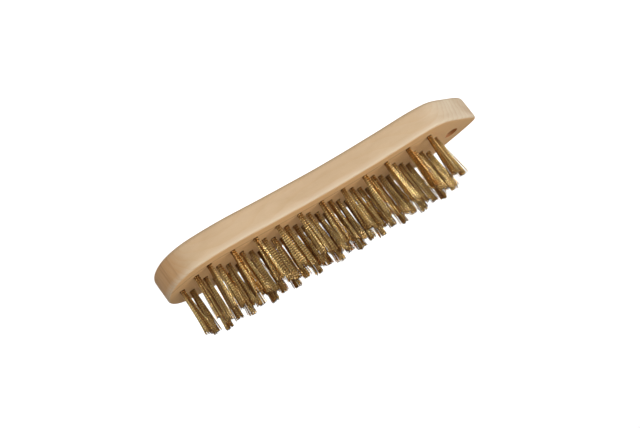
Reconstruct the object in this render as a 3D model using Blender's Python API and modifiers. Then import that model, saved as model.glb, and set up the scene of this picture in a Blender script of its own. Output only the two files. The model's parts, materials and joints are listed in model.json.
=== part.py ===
"""Wooden hand wire brush: a waisted hardwood block set with rows of wire tufts.

The brush lies on its flat wooden back, bristles up. The origin is at the middle of
the back's box, +X runs along the block towards the pointed nose with the hanging
hole, +Y runs across the rows towards the waisted side. Sizes are in metres.
"""

import math

import bmesh
import bpy
import numpy as np
from mathutils import Matrix, Vector

# Block
block_length = 0.2681
block_thickness = 0.020
bulge_half_width = 0.0338      # widest half width, at both ends of the grip
waist_near = 0.0275            # half width at the waist, +Y side
waist_far = 0.0301             # half width at the waist, -Y side
tail_corner = 0.0165           # length of the rounded corners at the tail
nose_taper = 0.0405            # length of the tapering nose
nose_blunt = 0.0048            # half width of the nose's rounded tip
back_round = 0.0035            # radius along the back's rim, where the hand holds it
face_round = 0.0018            # radius along the bristle face's rim
hang_diameter = 0.0101
hang_inset = 0.0235            # from the nose's tip to the hanging hole's axis

# Tufts
holes_per_row = 12
tail_inset = 0.0109            # from the tail to the first hole
nose_inset = 0.0413            # from the last hole to the nose's tip
near_inset = 0.0130            # from the waisted side's edge to the first row
far_inset = 0.0168             # from the far side's edge to the fourth row
corner_shift = 0.0042          # how far the second row's first hole moves out
nose_shift = 0.0030            # how far the second row's last hole moves out
outer_shift = 0.0032           # how far the fifth row stands nearer the nose
row_drift = 0.0022             # how far the middle rows wander out at the tail
tuft_diameter = 0.0038         # wires packed in the hole
tip_diameter = 0.0076          # the same wires where they fan out
trim_length = 0.0345           # free length above the wooden face
hole_depth = 0.014
tail_lean = 0.0030             # how far the tips lean out at the tail
clearance = 0.0003             # between the wires and the drilled wall or floor
hole_sides = 12

beech = (0.70, 0.50, 0.31)
brass = (0.60, 0.44, 0.20)


def clear_scene():
    for old in list(bpy.data.objects):
        bpy.data.objects.remove(old, do_unlink=True)


def new_collection(name):
    found = bpy.data.collections.new(name)
    bpy.context.scene.collection.children.link(found)
    return found


def new_material(name, colour, roughness, metallic):
    made = bpy.data.materials.new(name)
    made.use_nodes = True
    shader = made.node_tree.nodes["Principled BSDF"]
    shader.inputs["Base Color"].default_value = (*colour, 1.0)
    shader.inputs["Roughness"].default_value = roughness
    shader.inputs["Metallic"].default_value = metallic
    made.diffuse_color = (*colour, 1.0)
    return made


def side_points(waist):
    """Half of the block's outline as (x, half width), from the tail to the nose."""
    tail = -block_length / 2
    nose = block_length / 2
    slim = bulge_half_width - waist
    return [
        (tail + 0.27 * tail_corner, 0.53 * bulge_half_width),
        (tail + tail_corner, 0.85 * bulge_half_width),
        (tail + 2.7 * tail_corner, 0.975 * bulge_half_width),
        (tail * 0.36, waist + 0.37 * slim),
        (0.0, waist),
        (nose * 0.34, waist + 0.45 * slim),
        (nose - 1.42 * nose_taper, bulge_half_width),
        (nose - nose_taper, 0.94 * bulge_half_width),
        (nose - 0.52 * nose_taper, 0.58 * bulge_half_width),
        (nose - 0.55 * nose_blunt, nose_blunt),
    ]


def control_points():
    """The whole outline, anticlockwise from the tail's middle."""
    near = side_points(waist_near)
    far = [(x, -y) for x, y in side_points(waist_far)]
    tail = (-block_length / 2, 0.0)
    nose = (block_length / 2, 0.0)
    return [tail, *far, nose, *reversed(near)]


def smooth_outline(steps=5):
    """A closed centripetal Catmull-Rom curve through the control points."""
    points = [np.array(point) for point in control_points()]
    count = len(points)
    curve = []
    for index in range(count):
        p0, p1, p2, p3 = (points[(index + shift) % count] for shift in (-1, 0, 1, 2))
        t1 = np.linalg.norm(p1 - p0) ** 0.5
        t2 = t1 + np.linalg.norm(p2 - p1) ** 0.5
        t3 = t2 + np.linalg.norm(p3 - p2) ** 0.5
        for step in range(steps):
            t = t1 + (t2 - t1) * step / steps
            a1 = (t1 - t) / t1 * p0 + t / t1 * p1
            a2 = (t2 - t) / (t2 - t1) * p1 + (t - t1) / (t2 - t1) * p2
            a3 = (t3 - t) / (t3 - t2) * p2 + (t - t2) / (t3 - t2) * p3
            b1 = (t2 - t) / t2 * a1 + t / t2 * a2
            b2 = (t3 - t) / (t3 - t1) * a2 + (t - t1) / (t3 - t1) * a3
            curve.append((t2 - t) / (t2 - t1) * b1 + (t - t1) / (t2 - t1) * b2)
    return curve


def near_edge(x, outline):
    """Half width of the waisted side at x."""
    side = sorted((point[0], point[1]) for point in outline if point[1] > 0)
    return float(np.interp(x, [point[0] for point in side], [point[1] for point in side]))


def tuft_places(outline):
    """Hole centres by name: five staggered rows, the first along the waisted edge."""
    pitch = (block_length - tail_inset - nose_inset) / (holes_per_row - 0.5)
    first = -block_length / 2 + tail_inset
    last_row = far_inset - waist_far
    spacing = (waist_near - near_inset - last_row) / 3
    places = {}
    for row in range(1, 6):
        stagger = 0.0 if row % 2 else pitch / 2
        if row == 5:
            stagger = outer_shift
        for index in range(holes_per_row):
            x = first + stagger + index * pitch
            y = last_row + (4 - row) * spacing
            if row == 1:
                y = near_edge(x, outline) - near_inset
            elif row < 4:
                y += row_drift * (0.5 - x / block_length) ** 2
            if row == 2 and index == 0:
                y += corner_shift
            if row == 2 and index == holes_per_row - 1:
                y += nose_shift
            if row in (2, 3, 4) or index > 0:       # the tail's corners leave no wood for these
                places[f"tuft_row{row}_{index + 1:02d}"] = Vector((x, y, block_thickness))
    return places


def add_mesh_object(name, mesh, collection, material=None):
    made = bpy.data.objects.new(name, mesh)
    collection.objects.link(made)
    if material:
        mesh.materials.clear()
        mesh.materials.append(material)
    return made


def mesh_of_curve(curve_object, name):
    """The curve's closed mesh with its caps welded; the curve is removed."""
    bpy.context.view_layer.update()
    evaluated = curve_object.evaluated_get(bpy.context.evaluated_depsgraph_get())
    mesh = bpy.data.meshes.new_from_object(evaluated)
    mesh.name = name
    solid = bmesh.new()
    solid.from_mesh(mesh)
    bmesh.ops.remove_doubles(solid, verts=solid.verts, dist=0.00001)
    bmesh.ops.dissolve_limit(solid, angle_limit=math.radians(0.5), verts=solid.verts, edges=solid.edges)
    bmesh.ops.recalc_face_normals(solid, faces=solid.faces)
    solid.to_mesh(mesh)
    solid.free()
    bpy.data.objects.remove(curve_object, do_unlink=True)
    return mesh


def flat_board(outline, collection):
    """The outline as a 2D curve, extruded to the block's thickness."""
    curve = bpy.data.curves.new("block_outline", "CURVE")
    curve.dimensions = "2D"
    curve.fill_mode = "BOTH"
    curve.extrude = block_thickness / 2
    spline = curve.splines.new("POLY")
    spline.points.add(len(outline) - 1)
    for point, (x, y) in zip(spline.points, outline):
        point.co = (x, y, 0.0, 1.0)
    spline.use_cyclic_u = True
    board = bpy.data.objects.new("block_outline", curve)
    collection.objects.link(board)
    return mesh_of_curve(board, "wooden_block")


def drill(cutter, centre, radius, depth, sides):
    """One drill for a hole of this true radius, from above the face to the given depth."""
    over = 0.005
    middle = centre + Vector((0.0, 0.0, (over - depth) / 2))
    outer = radius / math.cos(math.pi / sides)
    bmesh.ops.create_cone(cutter, cap_ends=True, segments=sides, radius1=outer, radius2=outer,
                          depth=depth + over, matrix=Matrix.Translation(middle))


def hole_drills(places, collection):
    """All tuft holes and the hanging hole as one cutter."""
    cutter = bmesh.new()
    for place in places.values():
        drill(cutter, place, tuft_diameter / 2 + clearance, hole_depth, hole_sides)
    hang = Vector((block_length / 2 - hang_inset, 0.0, block_thickness))
    drill(cutter, hang, hang_diameter / 2, block_thickness + 0.005, 2 * hole_sides)
    mesh = bpy.data.meshes.new("hole_drills")
    cutter.to_mesh(mesh)
    cutter.free()
    drills = add_mesh_object("hole_drills", mesh, collection)
    drills.hide_render = True
    drills.display_type = "WIRE"
    return drills


def weigh_rims(mesh):
    """Bevel weights: the back's rim is rounder than the bristle face's rim."""
    weights = mesh.attributes.new("bevel_weight_edge", "FLOAT", "EDGE")
    for edge in mesh.edges:
        heights = [mesh.vertices[index].co.z for index in edge.vertices]
        if max(heights) < 0.0:
            weights.data[edge.index].value = 1.0
        elif min(heights) > 0.0:
            weights.data[edge.index].value = face_round / back_round


def wooden_block(outline, places, collection, cutters):
    mesh = flat_board(outline, collection)
    weigh_rims(mesh)
    block = add_mesh_object("wooden_block", mesh, collection, new_material("beech", beech, 0.55, 0.0))
    block.location.z = block_thickness / 2
    rims = block.modifiers.new("rims", "BEVEL")
    rims.width = back_round
    rims.segments = 3
    rims.limit_method = "WEIGHT"
    holes = block.modifiers.new("holes", "BOOLEAN")
    holes.operation = "DIFFERENCE"
    holes.object = hole_drills(places, cutters)
    return block


def wire_tuft(name, place, material, collection):
    """A bundle of wires: straight in its hole, fanning out to the trimmed tips."""
    toward_tail = 0.5 - place.x / block_length
    lean = -tail_lean * toward_tail ** 2
    root = tuft_diameter / 2
    tip = tip_diameter / 2
    stations = [
        (0.0, clearance - hole_depth, root),
        (0.0, 0.1 * trim_length, root),
        (0.25 * lean, 0.4 * trim_length, root + 0.35 * (tip - root)),
        (0.9 * lean, 0.9 * trim_length, tip),
        (lean, trim_length, 0.86 * tip),
    ]
    curve = bpy.data.curves.new(name, "CURVE")
    curve.dimensions = "3D"
    curve.bevel_depth = 1.0
    curve.bevel_resolution = 3
    curve.use_fill_caps = True
    spline = curve.splines.new("POLY")
    spline.points.add(len(stations) - 1)
    for point, (shift, height, radius) in zip(spline.points, stations):
        point.co = (shift, 0.0, height, 1.0)
        point.radius = radius
    tuft = bpy.data.objects.new(name, curve)
    tuft.location = place
    collection.objects.link(tuft)
    curve.materials.append(material)
    return tuft


def build_brush():
    clear_scene()
    brush = new_collection("wire_brush")
    cutters = new_collection("cutters")
    outline = smooth_outline()
    places = tuft_places(outline)
    wooden_block(outline, places, brush, cutters)
    wire = new_material("brass_wire", brass, 0.38, 1.0)
    for name, place in places.items():
        wire_tuft(name, place, wire, brush)


build_brush()
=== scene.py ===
# Hand wire brush: waisted beech block with staggered rows of crimped brass wire.
import json
import math

import bmesh
import bpy
import numpy as np
from mathutils import Euler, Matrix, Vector

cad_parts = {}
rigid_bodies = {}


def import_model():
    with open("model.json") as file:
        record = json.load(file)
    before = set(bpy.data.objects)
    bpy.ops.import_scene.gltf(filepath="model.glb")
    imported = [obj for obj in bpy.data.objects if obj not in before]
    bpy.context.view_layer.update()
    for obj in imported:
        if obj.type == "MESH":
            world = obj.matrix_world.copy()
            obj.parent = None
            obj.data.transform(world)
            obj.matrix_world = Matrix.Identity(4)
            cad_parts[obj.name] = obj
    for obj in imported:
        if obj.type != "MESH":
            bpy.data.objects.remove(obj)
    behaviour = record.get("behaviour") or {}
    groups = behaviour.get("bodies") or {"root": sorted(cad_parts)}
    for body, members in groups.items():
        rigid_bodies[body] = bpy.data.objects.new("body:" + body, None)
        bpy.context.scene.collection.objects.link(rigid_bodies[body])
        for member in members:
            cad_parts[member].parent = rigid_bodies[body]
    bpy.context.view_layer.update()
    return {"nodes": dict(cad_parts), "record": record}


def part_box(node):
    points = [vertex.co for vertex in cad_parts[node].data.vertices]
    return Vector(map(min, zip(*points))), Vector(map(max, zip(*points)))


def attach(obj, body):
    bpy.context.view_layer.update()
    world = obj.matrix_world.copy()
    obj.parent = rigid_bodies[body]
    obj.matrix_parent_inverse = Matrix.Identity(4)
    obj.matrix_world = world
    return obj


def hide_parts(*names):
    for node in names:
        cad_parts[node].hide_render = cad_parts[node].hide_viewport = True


for old in list(bpy.data.objects):
    bpy.data.objects.remove(old, do_unlink=True)

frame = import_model()
print("frame loaded:", len(frame["nodes"]), "nodes")

sameLevel = 0.001                               # heights closer than this are one level
blockLow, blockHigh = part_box("wooden_block")
faceHeight = blockHigh.z                        # the bristle face
tuftNames = sorted(name for name in frame["nodes"] if name.startswith("tuft_"))


def rootPlace(name):
    # middle of a tuft's lowest ring, brought up to the bristle face
    corners = np.array([vertex.co[:] for vertex in frame["nodes"][name].data.vertices])
    ring = corners[corners[:, 2] < corners[:, 2].min() + sameLevel]
    middle = (ring.min(axis=0) + ring.max(axis=0)) / 2
    return Vector((middle[0], middle[1], faceHeight))


tuftPlaces = {name: rootPlace(name) for name in tuftNames}
firstRow = [place for name, place in tuftPlaces.items() if "row1" in name]


# node helpers
def addNode(tree, kind, inputs=None, **settings):
    node = tree.nodes.new(kind)
    for key, value in settings.items():
        setattr(node, key, value)
    for key, value in (inputs or {}).items():
        if isinstance(value, bpy.types.NodeSocket):
            tree.links.new(value, node.inputs[key])
        else:
            node.inputs[key].default_value = value
    return node


def maths(tree, operation, first, second=0.0, third=0.0):
    node = addNode(tree, "ShaderNodeMath", {0: first, 1: second, 2: third}, operation=operation)
    return node.outputs[0]


def rangeOf(tree, value, fromLow, fromHigh, toLow=0.0, toHigh=1.0, smooth=False):
    kind = "SMOOTHSTEP" if smooth else "LINEAR"
    inputs = {0: value, 1: fromLow, 2: fromHigh, 3: toLow, 4: toHigh}
    return addNode(tree, "ShaderNodeMapRange", inputs, interpolation_type=kind).outputs[0]


def mixColour(tree, factor, first, second):
    node = tree.nodes.new("ShaderNodeMix")
    node.data_type = "RGBA"
    for index, value in ((0, factor), (6, first), (7, second)):
        if isinstance(value, bpy.types.NodeSocket):
            tree.links.new(value, node.inputs[index])
        elif index == 0:
            node.inputs[index].default_value = value
        else:
            node.inputs[index].default_value = (*value, 1.0)
    return node.outputs[2]


def newMaterial(name, **shaderValues):
    material = bpy.data.materials.new(name)
    material.use_nodes = True
    tree = material.node_tree
    shader = tree.nodes["Principled BSDF"]
    for key, value in shaderValues.items():
        shader.inputs[key.replace("_", " ")].default_value = value
    coordinates = addNode(tree, "ShaderNodeTexCoord")
    return material, tree, shader, coordinates.outputs["Object"]


def noise(tree, position, scale, detail=2.0, roughness=0.5, distortion=0.0):
    inputs = {"Vector": position, "Scale": scale, "Detail": detail, "Roughness": roughness,
              "Distortion": distortion}
    return addNode(tree, "ShaderNodeTexNoise", inputs).outputs[0]


def grain(tree, position, stretch, *settings):
    # noise with its own scale along each axis
    stretched = addNode(tree, "ShaderNodeMapping", {"Vector": position, "Scale": stretch})
    return noise(tree, stretched.outputs[0], 1.0, *settings)


def addBump(tree, shader, height, strength, depth):
    inputs = {"Strength": strength, "Distance": depth, "Height": height}
    bump = addNode(tree, "ShaderNodeBump", inputs)
    tree.links.new(bump.outputs[0], shader.inputs["Normal"])


# materials
woodLook = {
    "pale": (0.655, 0.475, 0.290),
    "deep": (0.520, 0.345, 0.190),
    "end": (0.580, 0.300, 0.110),
    # paler colour that paints the light falling on the nose end
    "nose": (0.790, 0.670, 0.500),
    # paler colour of the painted light band where the wall meets the bristle face
    "rim": (0.740, 0.610, 0.440),
    # the bristle face's own warmer colour, with painted warm light bounced off the brass
    "face": (0.810, 0.465, 0.190),
    "smear": (0.380, 0.190, 0.075),         # darker streaks down the tail's end grain
    # colour of the painted shadow line along the first row
    "tuftShadowLine": (0.330, 0.160, 0.060),
    "line": 0.8,                            # strength of the painted shadow line cast by the first row's tufts
    "lineWidth": 0.0007,
    "lineInset": 0.0021,                    # from that row's middle towards the near edge
    "lineFade": 0.020,                      # it runs out over this length at the last hole
    "lineBends": 6,
    "pithAcross": 0.150,                    # how far to the side the tree's heart lay
    "pithBelow": -0.030,
    "ringGap": 0.0029,
    "ringSwirl": 0.0085,
    "ringEdge": 3.0,                        # higher makes the dark end of a ring narrower
    "ringDepth": 0.26,
    "ringDepthFlank": 0.06,                 # the flanks are cut along the rings
    "ringColour": 1.6,
    "warpScale": (9.0, 40.0, 40.0),         # patterns in a metre, along each axis
    "fibreScale": (60.0, 2600.0, 2600.0),
    "cloudScale": (26.0, 60.0, 75.0),
    "fleckScale": (420.0, 2400.0, 1500.0),
    "smearScale": (300.0, 300.0, 20.0),
    "fibreTone": 0.35,
    "cloudTone": 0.45,
    "fleckTone": 0.16,
    "tailTone": 0.62,
    "noseTone": 0.10,
    "rimTone": 0.5,
    "faceTone": 0.8,
    "flankFade": (0.2, 0.9),                # where each effect begins and is full
    "cloudFade": (0.35, 0.72),
    "fleckFade": (0.66, 0.74),
    "smearFade": (0.50, 0.68),
    "tailFade": (-0.35, -0.92),
    "noseFade": (0.55, 0.95),
    "faceFade": (0.80, 0.995),
    "roughFade": (0.3, 0.7),
    "noseLightFade": (0.075, 0.115),             # painted light, along the block, towards the nose
    "rimFrom": 0.0050,                      # below the bristle face
    "rimTo": 0.0015,
    "specular": 0.35,
    "smoothest": 0.50,
    "roughest": 0.64,
    "fibreHeight": 0.8,                     # beside the rings' own height
    "bump": 0.25,
    "bumpDepth": 0.00012,
}


def yearRings(tree, place, along):
    # each ring starts pale and ends dark, round the tree's heart
    warp = grain(tree, place, woodLook["warpScale"], 3.0)
    across = maths(tree, "SUBTRACT", along[1], woodLook["pithAcross"])
    upright = maths(tree, "SUBTRACT", along[2], woodLook["pithBelow"])
    flatSquare = maths(tree, "MULTIPLY", across, across)
    radius = maths(tree, "SQRT", maths(tree, "MULTIPLY_ADD", upright, upright, flatSquare))
    swirl = maths(tree, "MULTIPLY", warp, woodLook["ringSwirl"])
    age = maths(tree, "DIVIDE", maths(tree, "ADD", radius, swirl), woodLook["ringGap"])
    return maths(tree, "POWER", maths(tree, "FRACT", age), woodLook["ringEdge"])


def paintedTuftShadow(tree, along):
    # painted shadow of the first row's tufts: a smooth curve along the row, fading out before
    # its last hole
    xs, ys = [place.x for place in firstRow], [place.y for place in firstRow]
    factors = np.polyfit(xs, ys, woodLook["lineBends"])
    factors[-1] += woodLook["lineInset"]
    line = float(factors[0])
    for factor in factors[1:]:
        line = maths(tree, "MULTIPLY_ADD", line, along[0], float(factor))
    gap = maths(tree, "ABSOLUTE", maths(tree, "SUBTRACT", along[1], line))
    width = woodLook["lineWidth"]
    mark = rangeOf(tree, gap, width / 2, width, woodLook["line"], 0.0)
    lastHole = max(xs)
    ending = rangeOf(tree, along[0], lastHole - woodLook["lineFade"], lastHole, 1.0, 0.0)
    return maths(tree, "MULTIPLY", mark, ending)


def woodMaterial():
    material, tree, shader, place = newMaterial("planedBeech")
    shader.inputs["Specular IOR Level"].default_value = woodLook["specular"]
    along = addNode(tree, "ShaderNodeSeparateXYZ", {0: place}).outputs
    facing = addNode(tree, "ShaderNodeTexCoord").outputs["Normal"]
    lean = addNode(tree, "ShaderNodeSeparateXYZ", {0: facing}).outputs
    ring = yearRings(tree, place, along)
    fibre = grain(tree, place, woodLook["fibreScale"], 4.0, 0.6)
    cloud = grain(tree, place, woodLook["cloudScale"], 3.0, 0.55, 0.6)
    fleck = grain(tree, place, woodLook["fleckScale"], 1.0)

    flank = maths(tree, "MULTIPLY", lean[1], lean[1])
    depth = rangeOf(tree, flank, *woodLook["flankFade"], woodLook["ringDepth"],
                    woodLook["ringDepthFlank"])
    streak = maths(tree, "MULTIPLY", ring, depth)
    tone = maths(tree, "ADD", streak, maths(tree, "MULTIPLY", fibre, woodLook["fibreTone"]))
    cloud = rangeOf(tree, cloud, *woodLook["cloudFade"])
    tone = maths(tree, "MULTIPLY_ADD", cloud, woodLook["cloudTone"], tone)
    fleck = rangeOf(tree, fleck, *woodLook["fleckFade"])
    tone = maths(tree, "MULTIPLY_ADD", fleck, woodLook["fleckTone"], tone)
    # painted light: the walls turn paler towards the nose
    paintedNoseLight = rangeOf(tree, along[0], *woodLook["noseLightFade"])
    pale = mixColour(tree, paintedNoseLight, woodLook["pale"], woodLook["nose"])
    colour = mixColour(tree, tone, pale, woodLook["deep"])

    # end grain at the tail and the nose
    tail = rangeOf(tree, lean[0], *woodLook["tailFade"], 0.0, woodLook["tailTone"], True)
    endGrain = maths(tree, "ABSOLUTE", lean[0])
    nose = rangeOf(tree, endGrain, *woodLook["noseFade"], 0.0, woodLook["noseTone"], True)
    colour = mixColour(tree, maths(tree, "MAXIMUM", tail, nose), colour, woodLook["end"])
    smear = grain(tree, place, woodLook["smearScale"], 3.0, 0.6)
    smear = rangeOf(tree, smear, *woodLook["smearFade"])
    smear = maths(tree, "MULTIPLY", smear, tail)
    colour = mixColour(tree, smear, colour, woodLook["smear"])

    # the bristle face with painted warm bounce light, the painted light band below its rim and
    # the painted tuft shadow line
    rimFrom, rimTo = faceHeight - woodLook["rimFrom"], faceHeight - woodLook["rimTo"]
    # painted light: a paler band on the wall just below the bristle face's rim
    rim = rangeOf(tree, along[2], rimFrom, rimTo, 0.0, woodLook["rimTone"])
    colour = mixColour(tree, rim, colour, woodLook["rim"])
    # the bristle face: its own warmer colour and painted warm bounce light from the brass
    planed = rangeOf(tree, lean[2], *woodLook["faceFade"], 0.0, 1.0, True)
    face = maths(tree, "MULTIPLY", planed, woodLook["faceTone"])
    colour = mixColour(tree, face, colour, woodLook["face"])
    # painted shadow line of the first row's tufts, on the face only
    mark = maths(tree, "MULTIPLY", paintedTuftShadow(tree, along), planed)
    colour = mixColour(tree, mark, colour, woodLook["tuftShadowLine"])
    darker = maths(tree, "MULTIPLY", streak, woodLook["ringColour"])
    colour = mixColour(tree, darker, colour, woodLook["end"])
    tree.links.new(colour, shader.inputs["Base Color"])

    rough = rangeOf(tree, fibre, *woodLook["roughFade"], woodLook["smoothest"],
                    woodLook["roughest"])
    tree.links.new(rough, shader.inputs["Roughness"])
    height = maths(tree, "MULTIPLY_ADD", fibre, woodLook["fibreHeight"], streak)
    addBump(tree, shader, height, woodLook["bump"], woodLook["bumpDepth"])
    return material


drilledLook = {
    # both colours of the hole walls are darkened with painted shade
    "dark": (0.34, 0.12, 0.032),
    "light": (0.52, 0.22, 0.06),
    "grooveScale": (300.0, 300.0, 3200.0),
    "grooveFade": (0.3, 0.7),
    "roughness": 0.8,
    "bump": 0.4,
    "bumpDepth": 0.0001,
}


def drilledMaterial():
    # the walls of the drilled holes, darkened with painted shade, with the bit's grooves
    roughness = drilledLook["roughness"]
    material, tree, shader, place = newMaterial("drilledWood", Roughness=roughness)
    groove = grain(tree, place, drilledLook["grooveScale"], 3.0)
    shadedGrooves = rangeOf(tree, groove, *drilledLook["grooveFade"])
    colour = mixColour(tree, shadedGrooves, drilledLook["dark"], drilledLook["light"])
    tree.links.new(colour, shader.inputs["Base Color"])
    addBump(tree, shader, groove, drilledLook["bump"], drilledLook["bumpDepth"])
    return material


wireLook = {
    "bright": (1.000, 0.790, 0.370),
    "dull": (0.300, 0.120, 0.015),
    # colour of the painted shade on the wires
    "paintedWireShade": (0.215, 0.085, 0.014),
    "dullFade": (0.46, 0.70),               # how a wire's own tone turns it dull
    "blotchScale": 420.0,
    "blotchFade": (0.3, 0.7),
    "blotchTone": 0.15,
    "troughShade": 0.75,                         # most painted shade in the crimps' troughs,
    "troughFade": (0.15, 0.75),
    "rootShade": 0.85,                      # near the wood
    "tipShade": 0.65,                       # and towards the ends
    "rootReach": 0.014,                     # above the wooden face
    "endFrom": 0.029,
    "endTo": 0.034,
    "coat": 0.15,
    "coatRoughness": 0.18,
    "roughness": 0.13,
    "blotchRoughness": 0.20,
    "bump": 0.3,
    "bumpScale": 6000.0,
    "bumpDepth": 0.00003,
}


def wireMaterial():
    material, tree, shader, place = newMaterial(
        "crimpedBrass", Metallic=1.0, Coat_Weight=wireLook["coat"],
        Coat_Roughness=wireLook["coatRoughness"])
    tone = addNode(tree, "ShaderNodeAttribute", attribute_name="wireTone").outputs["Fac"]
    blotch = noise(tree, place, wireLook["blotchScale"], 3.0)
    dull = rangeOf(tree, tone, *wireLook["dullFade"])
    blotched = rangeOf(tree, blotch, *wireLook["blotchFade"])
    dull = maths(tree, "MULTIPLY_ADD", blotched, wireLook["blotchTone"], dull)
    colour = mixColour(tree, dull, wireLook["bright"], wireLook["dull"])

    crest = addNode(tree, "ShaderNodeAttribute", attribute_name="wireCrest").outputs["Fac"]
    # painted shade in the crimps' troughs, where the nested wires shade each other
    troughShade = rangeOf(tree, crest, *wireLook["troughFade"], wireLook["troughShade"], 0.0, True)
    height = addNode(tree, "ShaderNodeSeparateXYZ", {0: place}).outputs[2]
    rootTop = faceHeight + wireLook["rootReach"]
    # painted shade near the wood, where the roots stand in shade
    root = rangeOf(tree, height, faceHeight, rootTop, wireLook["rootShade"], 0.0, True)
    endFrom, endTo = faceHeight + wireLook["endFrom"], faceHeight + wireLook["endTo"]
    # painted shade towards the tips, where the far rows' ends lie in shade
    end = rangeOf(tree, height, endFrom, endTo, 0.0, wireLook["tipShade"])
    paintedShade = maths(tree, "MAXIMUM", maths(tree, "MAXIMUM", root, troughShade), end)
    colour = mixColour(tree, paintedShade, colour, wireLook["paintedWireShade"])
    tree.links.new(colour, shader.inputs["Base Color"])

    span, least = wireLook["blotchRoughness"], wireLook["roughness"]
    tree.links.new(maths(tree, "MULTIPLY_ADD", blotch, span, least), shader.inputs["Roughness"])
    drawn = noise(tree, place, wireLook["bumpScale"], 2.0)
    addBump(tree, shader, drawn, wireLook["bump"], wireLook["bumpDepth"])
    return material


anchorLook = {
    "dark": (0.42, 0.41, 0.40),
    "light": (0.58, 0.57, 0.55),
    "drawnScale": (900.0, 900.0, 5200.0),
    "drawnFade": (0.3, 0.7),
    "smoothest": 0.28,
    "roughest": 0.42,
}


def anchorMaterial():
    material, tree, shader, place = newMaterial("anchorSteel", Metallic=1.0)
    drawn = grain(tree, place, anchorLook["drawnScale"], 2.0)
    colour = mixColour(tree, drawn, anchorLook["dark"], anchorLook["light"])
    tree.links.new(colour, shader.inputs["Base Color"])
    rough = rangeOf(tree, drawn, *anchorLook["drawnFade"], anchorLook["smoothest"],
                    anchorLook["roughest"])
    tree.links.new(rough, shader.inputs["Roughness"])
    return material


wood = woodMaterial()
drilled = drilledMaterial()
brass = wireMaterial()
anchorSteel = anchorMaterial()
print("materials ready")


# shared mesh work
def linkObject(name, data):
    made = bpy.data.objects.new(name, data)
    bpy.context.scene.collection.objects.link(made)
    return made


def plainMesh(source, name):
    # the evaluated shape as a plain mesh object at the origin; the source goes away
    bpy.context.view_layer.update()
    evaluated = source.evaluated_get(bpy.context.evaluated_depsgraph_get())
    mesh = bpy.data.meshes.new_from_object(evaluated)
    mesh.name = name
    mesh.transform(source.matrix_world)
    bpy.data.objects.remove(source, do_unlink=True)
    return linkObject(name, mesh)


# block
block = {
    "backRound": 0.0035,
    "faceRound": 0.0018,
    "rimSteps": 7,
    "finer": 3,                 # outline points between two corners of the CAD outline
    "holeRadius": 0.00215,
    "holeDepth": 0.0138,
    "holeLip": 0.00010,
    "hangRadius": 0.00505,
    "hangLip": 0.00020,
    "sides": 40,
    "drillOver": 0.004,         # the drills start this far above the face
    "sharpAngle": 32.0,
    "rimLevel": 0.0002,         # how far a corner may lie off the face rim's lower edge
    "outlineWeld": 0.000005,
    "drillWeld": 0.000002,
    "flatAngle": 0.002,
}


def blockOutline():
    corners = np.array([vertex.co[:] for vertex in frame["nodes"]["wooden_block"].data.vertices])
    level = faceHeight - block["faceRound"]
    ring = corners[abs(corners[:, 2] - level) < block["rimLevel"]][:, :2]
    ring = np.unique(np.round(ring, 6), axis=0)
    ring = ring[np.argsort(np.arctan2(ring[:, 1], ring[:, 0]))]
    smooth = []
    for index in range(len(ring)):
        around = (ring[(index + shift) % len(ring)] for shift in (-1, 0, 1, 2))
        before, start, end, after = around
        for step in range(block["finer"]):
            t = step / block["finer"]
            cubic = 2 * start + (end - before) * t
            cubic = cubic + (2 * before - 5 * start + 4 * end - after) * t ** 2
            cubic = cubic + (3 * start - before - 3 * end + after) * t ** 3
            smooth.append(cubic / 2)
    return smooth


def blockBlank():
    curve = bpy.data.curves.new("blockBlank", "CURVE")
    curve.dimensions = "2D"
    curve.fill_mode = "BOTH"
    curve.extrude = faceHeight / 2
    outline = blockOutline()
    spline = curve.splines.new("POLY")
    spline.points.add(len(outline) - 1)
    for point, (x, y) in zip(spline.points, outline):
        point.co = (x, y, 0.0, 1.0)
    spline.use_cyclic_u = True
    blank = linkObject("blockBlank", curve)
    blank.location.z = faceHeight / 2
    blank = plainMesh(blank, "blockBlank")
    solid = bmesh.new()
    solid.from_mesh(blank.data)
    bmesh.ops.remove_doubles(solid, verts=solid.verts, dist=block["outlineWeld"])
    bmesh.ops.dissolve_limit(solid, angle_limit=block["flatAngle"], verts=solid.verts,
                             edges=solid.edges)
    bmesh.ops.recalc_face_normals(solid, faces=solid.faces)
    solid.to_mesh(blank.data)
    solid.free()
    # the back's rim is rounder than the bristle face's
    weights = blank.data.attributes.new("bevel_weight_edge", "FLOAT", "EDGE")
    for edge in blank.data.edges:
        heights = [blank.data.vertices[index].co.z for index in edge.vertices]
        if max(heights) < sameLevel:
            weights.data[edge.index].value = 1.0
        elif min(heights) > faceHeight - sameLevel:
            weights.data[edge.index].value = block["faceRound"] / block["backRound"]
    return blank


def turnedDrill(solid, centre, radius, depth, lip):
    # a drill with a flared collar that breaks the hole's edge, turned about its axis
    profile = [(0.0, -depth), (radius, -depth)]
    if depth > faceHeight:                              # right through, so both edges are broken
        profile = [(0.0, -depth), (radius + lip, -depth), (radius + lip, -faceHeight),
                   (radius, lip - faceHeight)]
    top = block["drillOver"]
    profile += [(radius, -lip), (radius + lip, 0.0), (radius + lip, top), (0.0, top)]
    points = [solid.verts.new(centre + Vector((out, 0.0, up))) for out, up in profile]
    edges = [solid.edges.new(pair) for pair in zip(points, points[1:])]
    bmesh.ops.spin(solid, geom=points + edges, cent=centre, axis=(0, 0, 1), dvec=(0, 0, 0),
                   angle=2 * math.pi, steps=block["sides"])


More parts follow.
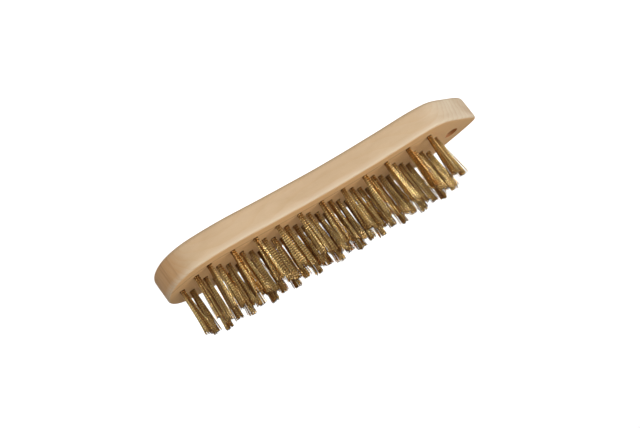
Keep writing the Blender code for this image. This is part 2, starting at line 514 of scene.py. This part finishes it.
def drillCutter():
    solid = bmesh.new()
    for place in tuftPlaces.values():
        turnedDrill(solid, place, block["holeRadius"], block["holeDepth"], block["holeLip"])
    low, high = frame["record"]["physics"]["openings"][0]["box_m"]
    hang = Vector(((low[0] + high[0]) / 2, 0.0, faceHeight))
    through = faceHeight + block["drillOver"]
    turnedDrill(solid, hang, block["hangRadius"], through, block["hangLip"])
    bmesh.ops.remove_doubles(solid, verts=solid.verts, dist=block["drillWeld"])
    bmesh.ops.recalc_face_normals(solid, faces=solid.faces)
    mesh = bpy.data.meshes.new("drillCutter")
    solid.to_mesh(mesh)
    solid.free()
    mesh.materials.append(wood)
    mesh.materials.append(drilled)
    for polygon in mesh.polygons:
        polygon.material_index = 1
    return linkObject("drillCutter", mesh)


def makeBlock():
    blank = blockBlank()
    cutter = drillCutter()
    blank.data.materials.append(wood)
    blank.data.materials.append(drilled)
    rims = blank.modifiers.new("rims", "BEVEL")
    rims.width = block["backRound"]
    rims.segments = block["rimSteps"]
    rims.limit_method = "WEIGHT"
    holes = blank.modifiers.new("holes", "BOOLEAN")
    holes.operation = "DIFFERENCE"
    holes.object = cutter
    made = plainMesh(blank, "woodenBlock")
    bpy.data.objects.remove(cutter, do_unlink=True)
    made.data.shade_smooth()
    made.data.set_sharp_from_angle(angle=math.radians(block["sharpAngle"]))
    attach(made, "root")
    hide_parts("wooden_block")


makeBlock()
print("block made")


# wire tufts
tuft = {
    "strands": 9,               # the crimped wires nest in strands
    "wiresPerStrand": 5,
    "rootRadius": 0.00158,      # reach of the strand centres at the hole
    "tipRadius": 0.00310,
    "opens": 0.9,               # below 1 the tuft opens early, above 1 late
    "firstStrand": 0.35,        # how far the first strand stands off the middle
    "strandRadius": 0.00034,    # reach of the wires in their strand at the hole
    "strandOpens": 0.00050,     # and how much it grows to the tip
    "depth": 0.0034,            # below the wooden face
    "topGap": 0.0003,           # kept free below the CAD tuft's top
    "wireDiameter": 0.00050,
    "wireSides": 4,
    "crimpLength": 0.0018,
    "crimpHeight": 0.00023,
    "crimpInHole": 0.35,        # share of that height left between the hole's walls
    "crimpStart": 0.001,
    "stepsPerCrimp": 4,
    "strandPhase": 0.5,         # how far the crimps of two strands may be out of step
    "wirePhase": 0.3,
    "strandTurn": 0.3,          # how far their planes may turn
    "tuftTurn": (-0.6, 0.9),
    "strandStray": 0.0007,
    "wireStray": 0.0003,
    "strayLate": 1.7,           # higher keeps the lower part of a wire straighter
    "looseStray": 0.0030,       # the few wires that stick out
    "looseRare": 14.0,
    "unevenTrim": 0.0022,
    "shortRare": 3.0,
    "strandTrim": 0.6,          # share of the uneven trim that whole strands take
    "tailLean": 0.0028,
    "lean": 0.0003,
    "leanLate": 1.3,
    "wireTone": 0.45,           # how much of the tone is a wire's own, and its strand's
    "strandTone": 0.55,
    "seed": 11,
    "seedStep": 20,
}

bentTufts = {                   # lean along x, lean along y, how much shorter
    "tuft_row3_01": (-0.0002, 0.0, 0.0),
    "tuft_row4_01": (-0.0025, 0.0, 0.0),
    "tuft_row2_01": (-0.0023, 0.0, 0.0018),
    "tuft_row1_11": (-0.0015, 0.0, 0.0),
    "tuft_row1_12": (-0.0019, 0.0, 0.0),
}

fullTurn = 2 * math.pi
goldenTurn = 2.39996            # from one sunflower seed to the next


def tuftTree():
    tree = bpy.data.node_groups.new("wireTuft", "GeometryNodeTree")
    # an input without a size here is set for each tuft
    sizes = {"Strands": ("Int", tuft["strands"]), "Wires": ("Int", tuft["wiresPerStrand"]),
             "Steps": ("Int", None), "Seed": ("Int", None), "Trim": ("Float", None),
             "Place": ("Vector", None), "Lean": ("Vector", None), "Turn": ("Float", None),
             "Crimp Side": ("Float", None), "Depth": ("Float", tuft["depth"]),
             "Root Radius": ("Float", tuft["rootRadius"]),
             "Tip Radius": ("Float", tuft["tipRadius"]),
             "Strand Radius": ("Float", tuft["strandRadius"]),
             "Strand Opens": ("Float", tuft["strandOpens"]),
             "Wire Radius": ("Float", tuft["wireDiameter"] / 2),
             "Crimp Length": ("Float", tuft["crimpLength"]),
             "Crimp Height": ("Float", tuft["crimpHeight"]),
             "Strand Stray": ("Float", tuft["strandStray"]),
             "Wire Stray": ("Float", tuft["wireStray"]),
             "Loose Stray": ("Float", tuft["looseStray"]),
             "Uneven Trim": ("Float", tuft["unevenTrim"])}
    sockets = {}
    for name, (kind, value) in sizes.items():
        socket = tree.interface.new_socket(name, in_out="INPUT", socket_type="NodeSocket" + kind)
        if value is not None:
            socket.default_value = value
        sockets[name] = socket.identifier
    tree.interface.new_socket("Geometry", in_out="OUTPUT", socket_type="NodeSocketGeometry")
    given = addNode(tree, "NodeGroupInput").outputs

    def spread(low, high, draw, owner):
        # a chance value for each wire or strand, another one for each draw number
        inputs = {2: low, 3: high, 7: owner, "Seed": maths(tree, "ADD", given["Seed"], draw)}
        return addNode(tree, "FunctionNodeRandomValue", inputs, data_type="FLOAT").outputs[1]

    def swing(reach, angle, start=(0.0, 0.0)):
        return (maths(tree, "MULTIPLY_ADD", reach, maths(tree, "COSINE", angle), start[0]),
                maths(tree, "MULTIPLY_ADD", reach, maths(tree, "SINE", angle), start[1]))

    def stored(geometry, name, value, domain):
        inputs = {0: geometry, 2: name, 3: value}
        return addNode(tree, "GeometryNodeStoreNamedAttribute", inputs, data_type="FLOAT",
                       domain=domain).outputs[0]

    # one straight wire from the hole to the trimmed end, repeated and numbered
    below = maths(tree, "MULTIPLY", given["Depth"], -1.0)
    low = addNode(tree, "ShaderNodeCombineXYZ", {2: below}).outputs[0]
    high = addNode(tree, "ShaderNodeCombineXYZ", {2: given["Trim"]}).outputs[0]
    line = addNode(tree, "GeometryNodeCurvePrimitiveLine", {0: low, 1: high}).outputs[0]
    inputs = {0: line, "Count": given["Steps"]}
    line = addNode(tree, "GeometryNodeResampleCurve", inputs).outputs[0]
    total = maths(tree, "MULTIPLY", given["Strands"], given["Wires"])
    points = addNode(tree, "GeometryNodePoints", {0: total}).outputs[0]
    number = addNode(tree, "GeometryNodeInputIndex").outputs[0]
    points = stored(points, "wire", number, "POINT")
    wires = addNode(tree, "GeometryNodeInstanceOnPoints", {0: points, 2: line}).outputs[0]
    wires = addNode(tree, "GeometryNodeRealizeInstances", {0: wires}).outputs[0]
    wire = addNode(tree, "GeometryNodeInputNamedAttribute", {0: "wire"}, data_type="FLOAT")
    wire = wire.outputs[0]
    strand = maths(tree, "DIVIDE", maths(tree, "ADD", wire, 0.5), given["Wires"])
    strand = maths(tree, "FLOOR", strand)
    inStrand = maths(tree, "MULTIPLY", strand, given["Wires"])
    inStrand = maths(tree, "SUBTRACT", wire, inStrand)
    place = addNode(tree, "GeometryNodeInputPosition").outputs[0]
    up = addNode(tree, "ShaderNodeSeparateXYZ", {0: place}).outputs[2]
    free = maths(tree, "MAXIMUM", maths(tree, "DIVIDE", up, given["Trim"]), 0.0)

    # strands packed like sunflower seeds, opening out towards the tips
    share = maths(tree, "ADD", strand, tuft["firstStrand"])
    share = maths(tree, "SQRT", maths(tree, "DIVIDE", share, given["Strands"]))
    growth = maths(tree, "SUBTRACT", given["Tip Radius"], given["Root Radius"])
    opened = maths(tree, "POWER", free, tuft["opens"])
    reach = maths(tree, "MULTIPLY_ADD", growth, opened, given["Root Radius"])
    reach = maths(tree, "MULTIPLY", reach, share)
    middle = swing(reach, maths(tree, "MULTIPLY_ADD", strand, goldenTurn, given["Turn"]))

    # wires side by side round their strand's middle
    bundle = maths(tree, "MULTIPLY_ADD", free, given["Strand Opens"], given["Strand Radius"])
    around = maths(tree, "MULTIPLY", inStrand, fullTurn)
    around = maths(tree, "DIVIDE", around, given["Wires"])
    around = maths(tree, "ADD", around, spread(0.0, fullTurn, 9, strand))
    middle = swing(bundle, around, middle)

    # strands and wires wander a little, more towards the end
    late = maths(tree, "POWER", free, tuft["strayLate"])
    for owner, amount, draw in ((strand, "Strand Stray", 1), (wire, "Wire Stray", 3)):
        drift = maths(tree, "MULTIPLY", late, given[amount])
        drift = maths(tree, "MULTIPLY", drift, spread(0.0, 1.0, draw, owner))
        middle = swing(drift, spread(0.0, fullTurn, draw + 1, owner), middle)
    loose = maths(tree, "POWER", spread(0.0, 1.0, 10, wire), tuft["looseRare"])
    loose = maths(tree, "MULTIPLY", maths(tree, "MULTIPLY", loose, late), given["Loose Stray"])
    middle = swing(loose, spread(0.0, fullTurn, 11, wire), middle)

    # the crimp, nearly in step across the tuft so that the wires nest
    phase = maths(tree, "DIVIDE", up, given["Crimp Length"])
    apart = tuft["strandPhase"]
    phase = maths(tree, "MULTIPLY_ADD", phase, fullTurn, spread(-apart, apart, 5, strand))
    apart = tuft["wirePhase"]
    phase = maths(tree, "ADD", phase, spread(-apart, apart, 12, wire))
    wave = maths(tree, "MULTIPLY", maths(tree, "SINE", phase), given["Crimp Height"])
    start = tuft["crimpStart"]
    held = rangeOf(tree, up, -start, start, tuft["crimpInHole"], 1.0)
    wave = maths(tree, "MULTIPLY", wave, held)
    apart = tuft["strandTurn"]
    side = maths(tree, "ADD", given["Crimp Side"], spread(-apart, apart, 6, strand))
    middle = swing(wave, side, middle)

    # uneven trim: a few wires are clearly shorter
    short = maths(tree, "POWER", spread(0.0, 1.0, 7, wire), tuft["shortRare"])
    whole = spread(0.0, 1.0, 13, strand)
    short = maths(tree, "MULTIPLY_ADD", whole, tuft["strandTrim"], short)
    cut = maths(tree, "MULTIPLY", maths(tree, "MULTIPLY", short, free), given["Uneven Trim"])
    upright = maths(tree, "SUBTRACT", up, cut)

    # the tuft's own lean, and its place on the block
    shape = {0: middle[0], 1: middle[1], 2: upright}
    shape = addNode(tree, "ShaderNodeCombineXYZ", shape).outputs[0]
    curved = {0: given["Lean"], "Scale": maths(tree, "POWER", free, tuft["leanLate"])}
    bend = addNode(tree, "ShaderNodeVectorMath", curved, operation="SCALE").outputs[0]
    for shift in (bend, given["Place"]):
        shape = addNode(tree, "ShaderNodeVectorMath", {0: shape, 1: shift}, operation="ADD")
        shape = shape.outputs[0]
    wires = addNode(tree, "GeometryNodeSetPosition", {0: wires, "Position": shape}).outputs[0]
    crest = maths(tree, "MULTIPLY_ADD", maths(tree, "SINE", phase), 0.5, 0.5)
    wires = stored(wires, "wireCrest", crest, "POINT")
    tone = maths(tree, "MULTIPLY", spread(0.0, 1.0, 8, wire), tuft["wireTone"])
    whole = spread(0.0, 1.0, 14, strand)
    tone = maths(tree, "MULTIPLY_ADD", whole, tuft["strandTone"], tone)
    wires = stored(wires, "wireTone", tone, "CURVE")

    section = {0: tuft["wireSides"], 4: given["Wire Radius"]}
    section = addNode(tree, "GeometryNodeCurvePrimitiveCircle", section).outputs[0]
    tube = {0: wires, 1: section, "Fill Caps": True}
    tube = addNode(tree, "GeometryNodeCurveToMesh", tube).outputs[0]
    tube = addNode(tree, "GeometryNodeSetShadeSmooth", {0: tube}).outputs[0]
    tube = addNode(tree, "GeometryNodeRealizeInstances", {0: tube}).outputs[0]
    tube = addNode(tree, "GeometryNodeSetMaterial", {0: tube, "Material": brass}).outputs[0]
    addNode(tree, "NodeGroupOutput", {0: tube})
    return tree, sockets


def makeTufts():
    tree, sockets = tuftTree()
    chance = np.random.default_rng(tuft["seed"])
    for count, (name, place) in enumerate(tuftPlaces.items()):
        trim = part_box(name)[1].z - faceHeight - tuft["topGap"]
        towardTail = (blockHigh.x - place.x) / (blockHigh.x - blockLow.x)
        lean = Vector((-tuft["tailLean"] * towardTail ** 2, 0.0, 0.0))
        lean += Vector((*chance.normal(0.0, tuft["lean"], 2), 0.0))
        if name in bentTufts:
            along, across, shorter = bentTufts[name]
            lean = Vector((along, across, 0.0))
            trim -= shorter
        source = linkObject(name + "_source", bpy.data.meshes.new(name))
        grow = source.modifiers.new("wires", "NODES")
        grow.node_group = tree
        crimps = (tuft["depth"] + trim) / tuft["crimpLength"]
        grow[sockets["Steps"]] = int(crimps * tuft["stepsPerCrimp"]) + 1
        grow[sockets["Seed"]] = tuft["seedStep"] * count
        grow[sockets["Trim"]] = trim
        grow[sockets["Place"]] = place
        grow[sockets["Lean"]] = lean
        grow[sockets["Turn"]] = float(chance.uniform(0.0, fullTurn))
        grow[sockets["Crimp Side"]] = float(math.pi / 2 + chance.uniform(*tuft["tuftTurn"]))
        made = plainMesh(source, name.replace("tuft", "wires"))
        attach(made, "root")
        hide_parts(name)
    bpy.data.node_groups.remove(tree)


makeTufts()
print("tufts made:", len(tuftPlaces))


# anchors
anchor = {"length": 0.0052, "thickness": 0.0004, "above": 0.0012, "arch": 0.0005, "steps": 4}


def makeAnchors():
    # the flat wire pressed across each hole's bottom, where the real wires fold over it; the
    # fold is not drawn
    curve = bpy.data.curves.new("anchors", "CURVE")
    curve.dimensions = "3D"
    curve.bevel_depth = anchor["thickness"]
    curve.bevel_resolution = 1
    curve.use_fill_caps = True
    height = faceHeight - block["holeDepth"] + anchor["above"]
    half = anchor["steps"] / 2
    for place in tuftPlaces.values():
        spline = curve.splines.new("POLY")
        spline.points.add(anchor["steps"])
        for index, point in enumerate(spline.points):
            along = (index - half) / anchor["steps"] * anchor["length"]
            arch = anchor["arch"] * (1.0 - ((index - half) / half) ** 2)
            point.co = (place.x + along, place.y, height + arch, 1.0)
    made = plainMesh(linkObject("anchorsSource", curve), "anchors")
    made.data.materials.clear()
    made.data.materials.append(anchorSteel)
    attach(made, "root")


makeAnchors()
print("anchors made")


# stage, light, camera
studio = {
    "floorSize": 40.0,
    "floorTone": 0.9,
    "floorGlow": 0.9,
    "bounceTone": 0.12,         # what the brush gets back from the floor
    "bounceGlow": 0.36,
    "floorRoughness": 0.9,
    "sky": 0.12,
    "cameraPlace": (-0.44805, 1.0087, 0.3112),
    "cameraTarget": (-0.00615, -0.0092, 0.0200),
    "cameraRoll": 143.32,
    "cameraNear": 0.01,
    "lens": 92.4,
}

softboxes = {                   # bearing, height in degrees, distance, size, power
    "frontLight": (71.0, 28.0, 1.6, 2.4, 36.0),
    "fillLight": (150.0, 16.0, 1.5, 1.2, 6.2),
    "glintLight": (42.0, 22.0, 1.5, 0.5, 22.0),
}


def makeFloor():
    half = studio["floorSize"] / 2
    corners = [(-half, -half, 0), (half, -half, 0), (half, half, 0), (-half, half, 0)]
    mesh = bpy.data.meshes.new("floor")
    mesh.from_pydata(corners, [], [(0, 1, 2, 3)])
    floor = linkObject("floor", mesh)
    roughness = studio["floorRoughness"]
    material, tree, shader, place = newMaterial("paleFloor", Roughness=roughness)
    shader.inputs["Emission Color"].default_value = (1.0, 1.0, 1.0, 1.0)
    seen = addNode(tree, "ShaderNodeLightPath").outputs["Is Camera Ray"]
    glow = rangeOf(tree, seen, 0.0, 1.0, studio["bounceGlow"], studio["floorGlow"])
    tree.links.new(glow, shader.inputs["Emission Strength"])
    tone = rangeOf(tree, seen, 0.0, 1.0, studio["bounceTone"], studio["floorTone"])
    grey = addNode(tree, "ShaderNodeCombineColor", {0: tone, 1: tone, 2: tone})
    tree.links.new(grey.outputs[0], shader.inputs["Base Color"])
    mesh.materials.append(material)


def softbox(name, bearing, height, distance, size, power):
    data = bpy.data.lights.new(name, "AREA")
    data.size = size
    data.energy = power
    light = linkObject(name, data)
    turn, tilt = math.radians(bearing), math.radians(height)
    flat = math.cos(tilt)
    away = Vector((math.cos(turn) * flat, math.sin(turn) * flat, math.sin(tilt)))
    light.location = away * distance
    light.rotation_euler = away.to_track_quat("Z", "Y").to_euler()
    return light


def makeLight():
    world = bpy.data.worlds.new("studio")
    bpy.context.scene.world = world
    world.use_nodes = True
    background = world.node_tree.nodes["Background"]
    background.inputs[0].default_value = (1.0, 1.0, 1.0, 1.0)
    background.inputs[1].default_value = studio["sky"]
    lights = {name: softbox(name, *settings) for name, settings in softboxes.items()}
    lights["glintLight"].visible_diffuse = False        # it shines on the metal only


def makeCamera():
    data = bpy.data.cameras.new("camera")
    data.lens = studio["lens"]
    data.clip_start = studio["cameraNear"]
    camera = linkObject("camera", data)
    place = Vector(studio["cameraPlace"])
    camera.location = place
    aim = (place - Vector(studio["cameraTarget"])).to_track_quat("Z", "Y")
    roll = Euler((0.0, 0.0, math.radians(studio["cameraRoll"]))).to_quaternion()
    camera.rotation_mode = "QUATERNION"
    camera.rotation_quaternion = aim @ roll
    bpy.context.scene.camera = camera


makeFloor()
makeLight()
makeCamera()
bpy.context.scene.view_settings.view_transform = "Standard"
print("studio ready")
